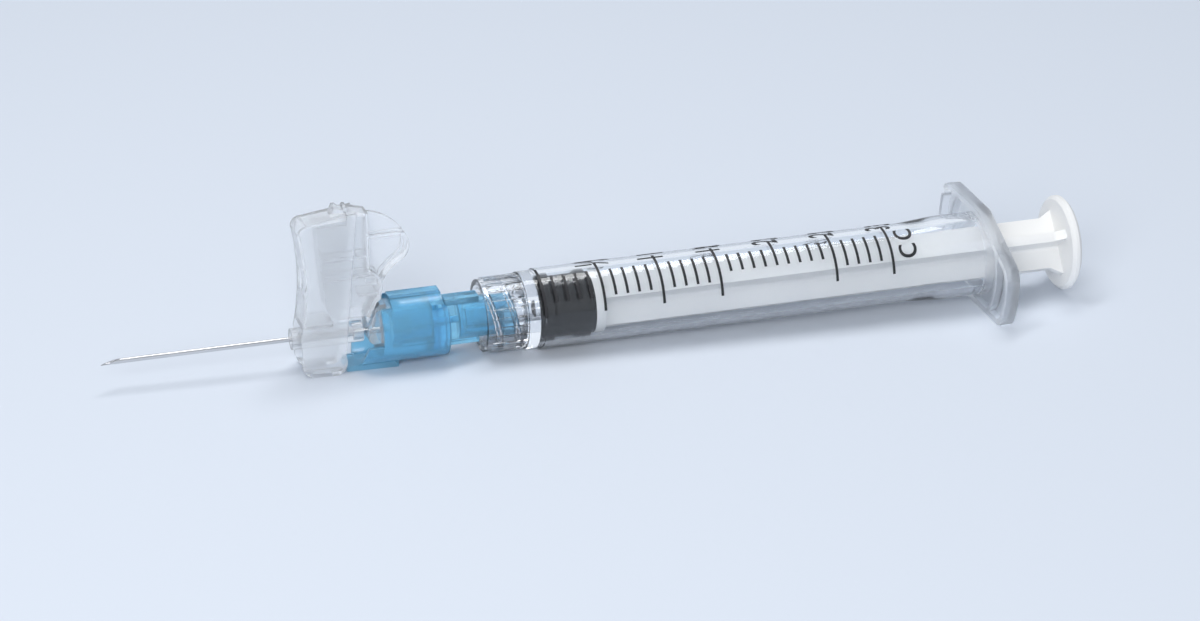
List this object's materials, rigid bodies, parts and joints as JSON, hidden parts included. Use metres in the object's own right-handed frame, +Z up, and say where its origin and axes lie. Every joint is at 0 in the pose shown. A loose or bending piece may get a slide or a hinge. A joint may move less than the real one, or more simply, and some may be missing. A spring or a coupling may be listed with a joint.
{
  "type": "hypodermic syringe",
  "caption": "Disposable luer-lock syringe with its plunger home, a short needle on a coloured hub and a clear shield that unfolds along the needle.",
  "frame": {"origin": "on the plane of the finger flange's resting flat, below the barrel's axis, at the middle of the length from needle point to thumb rest", "axes": "+X along the syringe from the needle point towards the thumb rest, +Z up, +Y to the far side"},
  "size_m": [0.1314, 0.0242, 0.0243],
  "materials": {
    "clear_plastic": "clear glossy polypropylene",
    "white_plastic": "white satin moulding",
    "black_rubber": "black, slightly glossy",
    "needle_steel": "drawn stainless steel",
    "blue_plastic": "light blue translucent moulding",
    "bond_resin": "clear resin",
    "milky_plastic": "milky clear polypropylene"
  },
  "bodies": {
    "syringe": {"barrel": "clear_plastic", "cannula": "needle_steel", "needle_hub": "blue_plastic", "hub_bond": "bond_resin", "shield_collar": "blue_plastic", "hinge_insert": "milky_plastic"},
    "plunger": {"plunger_rod": "white_plastic", "stopper": "black_rubber"},
    "rear_arm": {"rear_link": "milky_plastic"},
    "front_arm": {"front_link": "milky_plastic"},
    "guide": {"needle_guide": "milky_plastic"}
  },
  "joints": [
    {"name": "plunger_slide", "type": "slide", "parent": "syringe", "child": "plunger", "axis": [1, 0, 0], "range_m": [0, 0.052]},
    {"name": "shield_fold", "type": "hinge", "parent": "syringe", "child": "rear_arm", "pos_m": [-0.03135, 0, 0.0087], "axis": [0, -1, 0], "range_deg": [0, 81]},
    {"name": "guard_fold", "type": "hinge", "parent": "rear_arm", "child": "front_arm", "pos_m": [-0.03375, 0, 0.0239], "axis": [0, -1, 0], "range_deg": [-162, 0]},
    {"name": "guide_turn", "type": "hinge", "parent": "front_arm", "child": "guide", "pos_m": [-0.03615, 0, 0.0087], "axis": [0, -1, 0], "range_deg": [0, 81]}
  ],
  "couplings": [
    {"joint": "guard_fold", "follows": "shield_fold", "ratio": -2},
    {"joint": "guide_turn", "follows": "shield_fold", "ratio": 1}
  ]
}
